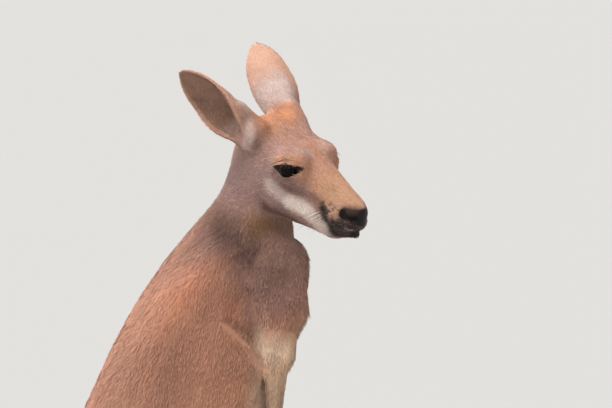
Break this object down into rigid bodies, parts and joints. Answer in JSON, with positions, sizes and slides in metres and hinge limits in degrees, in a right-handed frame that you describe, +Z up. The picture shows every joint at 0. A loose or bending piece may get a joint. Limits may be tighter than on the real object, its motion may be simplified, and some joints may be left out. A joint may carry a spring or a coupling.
{
  "type": "kangaroo",
  "caption": "Life-size red kangaroo standing upright on its hind feet and tail, looking to its right, with raised ears and hanging forelimbs.",
  "frame": {"origin": "on the floor, under the middle of the length and width of the whole animal", "axes": "+X forward, the way the body and feet point; +Y to the animal's left; +Z up"},
  "size_m": [1.1978, 0.3552, 1.2775],
  "materials": {
    "body_coat": "short dense fur, pinkish brown back and paler front",
    "face_coat": "very short fur, pale cheek stripe and dark whisker patch",
    "ear_coat": "thin short fur over skin",
    "paw_coat": "short dark fur",
    "nose_skin": "bare pebbled skin, slightly moist",
    "eye": "very dark brown, wet",
    "claw_horn": "dark horn, satin"
  },
  "bodies": {
    "root": {"belly": "body_coat", "chest": "body_coat", "claw_hand_left_1": "claw_horn", "claw_hand_left_2": "claw_horn", "claw_hand_left_3": "claw_horn", "claw_hand_left_4": "claw_horn", "claw_hand_left_5": "claw_horn", "claw_hand_right_1": "claw_horn", "claw_hand_right_2": "claw_horn", "claw_hand_right_3": "claw_horn", "claw_hand_right_4": "claw_horn", "claw_hand_right_5": "claw_horn", "claw_long_left": "claw_horn", "claw_long_right": "claw_horn", "claw_outer_left": "claw_horn", "claw_outer_right": "claw_horn", "claw_pair_a_left": "claw_horn", "claw_pair_a_right": "claw_horn", "claw_pair_b_left": "claw_horn", "claw_pair_b_right": "claw_horn", "ear_left": "ear_coat", "ear_right": "ear_coat", "eye_left": "eye", "eye_right": "eye", "foot_left": "paw_coat", "foot_right": "paw_coat", "forearm_left": "body_coat", "forearm_right": "body_coat", "hand_left": "paw_coat", "hand_right": "paw_coat", "head": "face_coat", "lower_jaw": "face_coat", "neck": "body_coat", "nose": "nose_skin", "pelvis": "body_coat", "shank_left": "body_coat", "shank_right": "body_coat", "shoulders": "body_coat", "tail_1": "body_coat", "tail_2": "body_coat", "tail_3": "body_coat", "tail_4": "body_coat", "thigh_left": "body_coat", "thigh_right": "body_coat", "upper_arm_left": "body_coat", "upper_arm_right": "body_coat"}
  },
  "joints": []
}
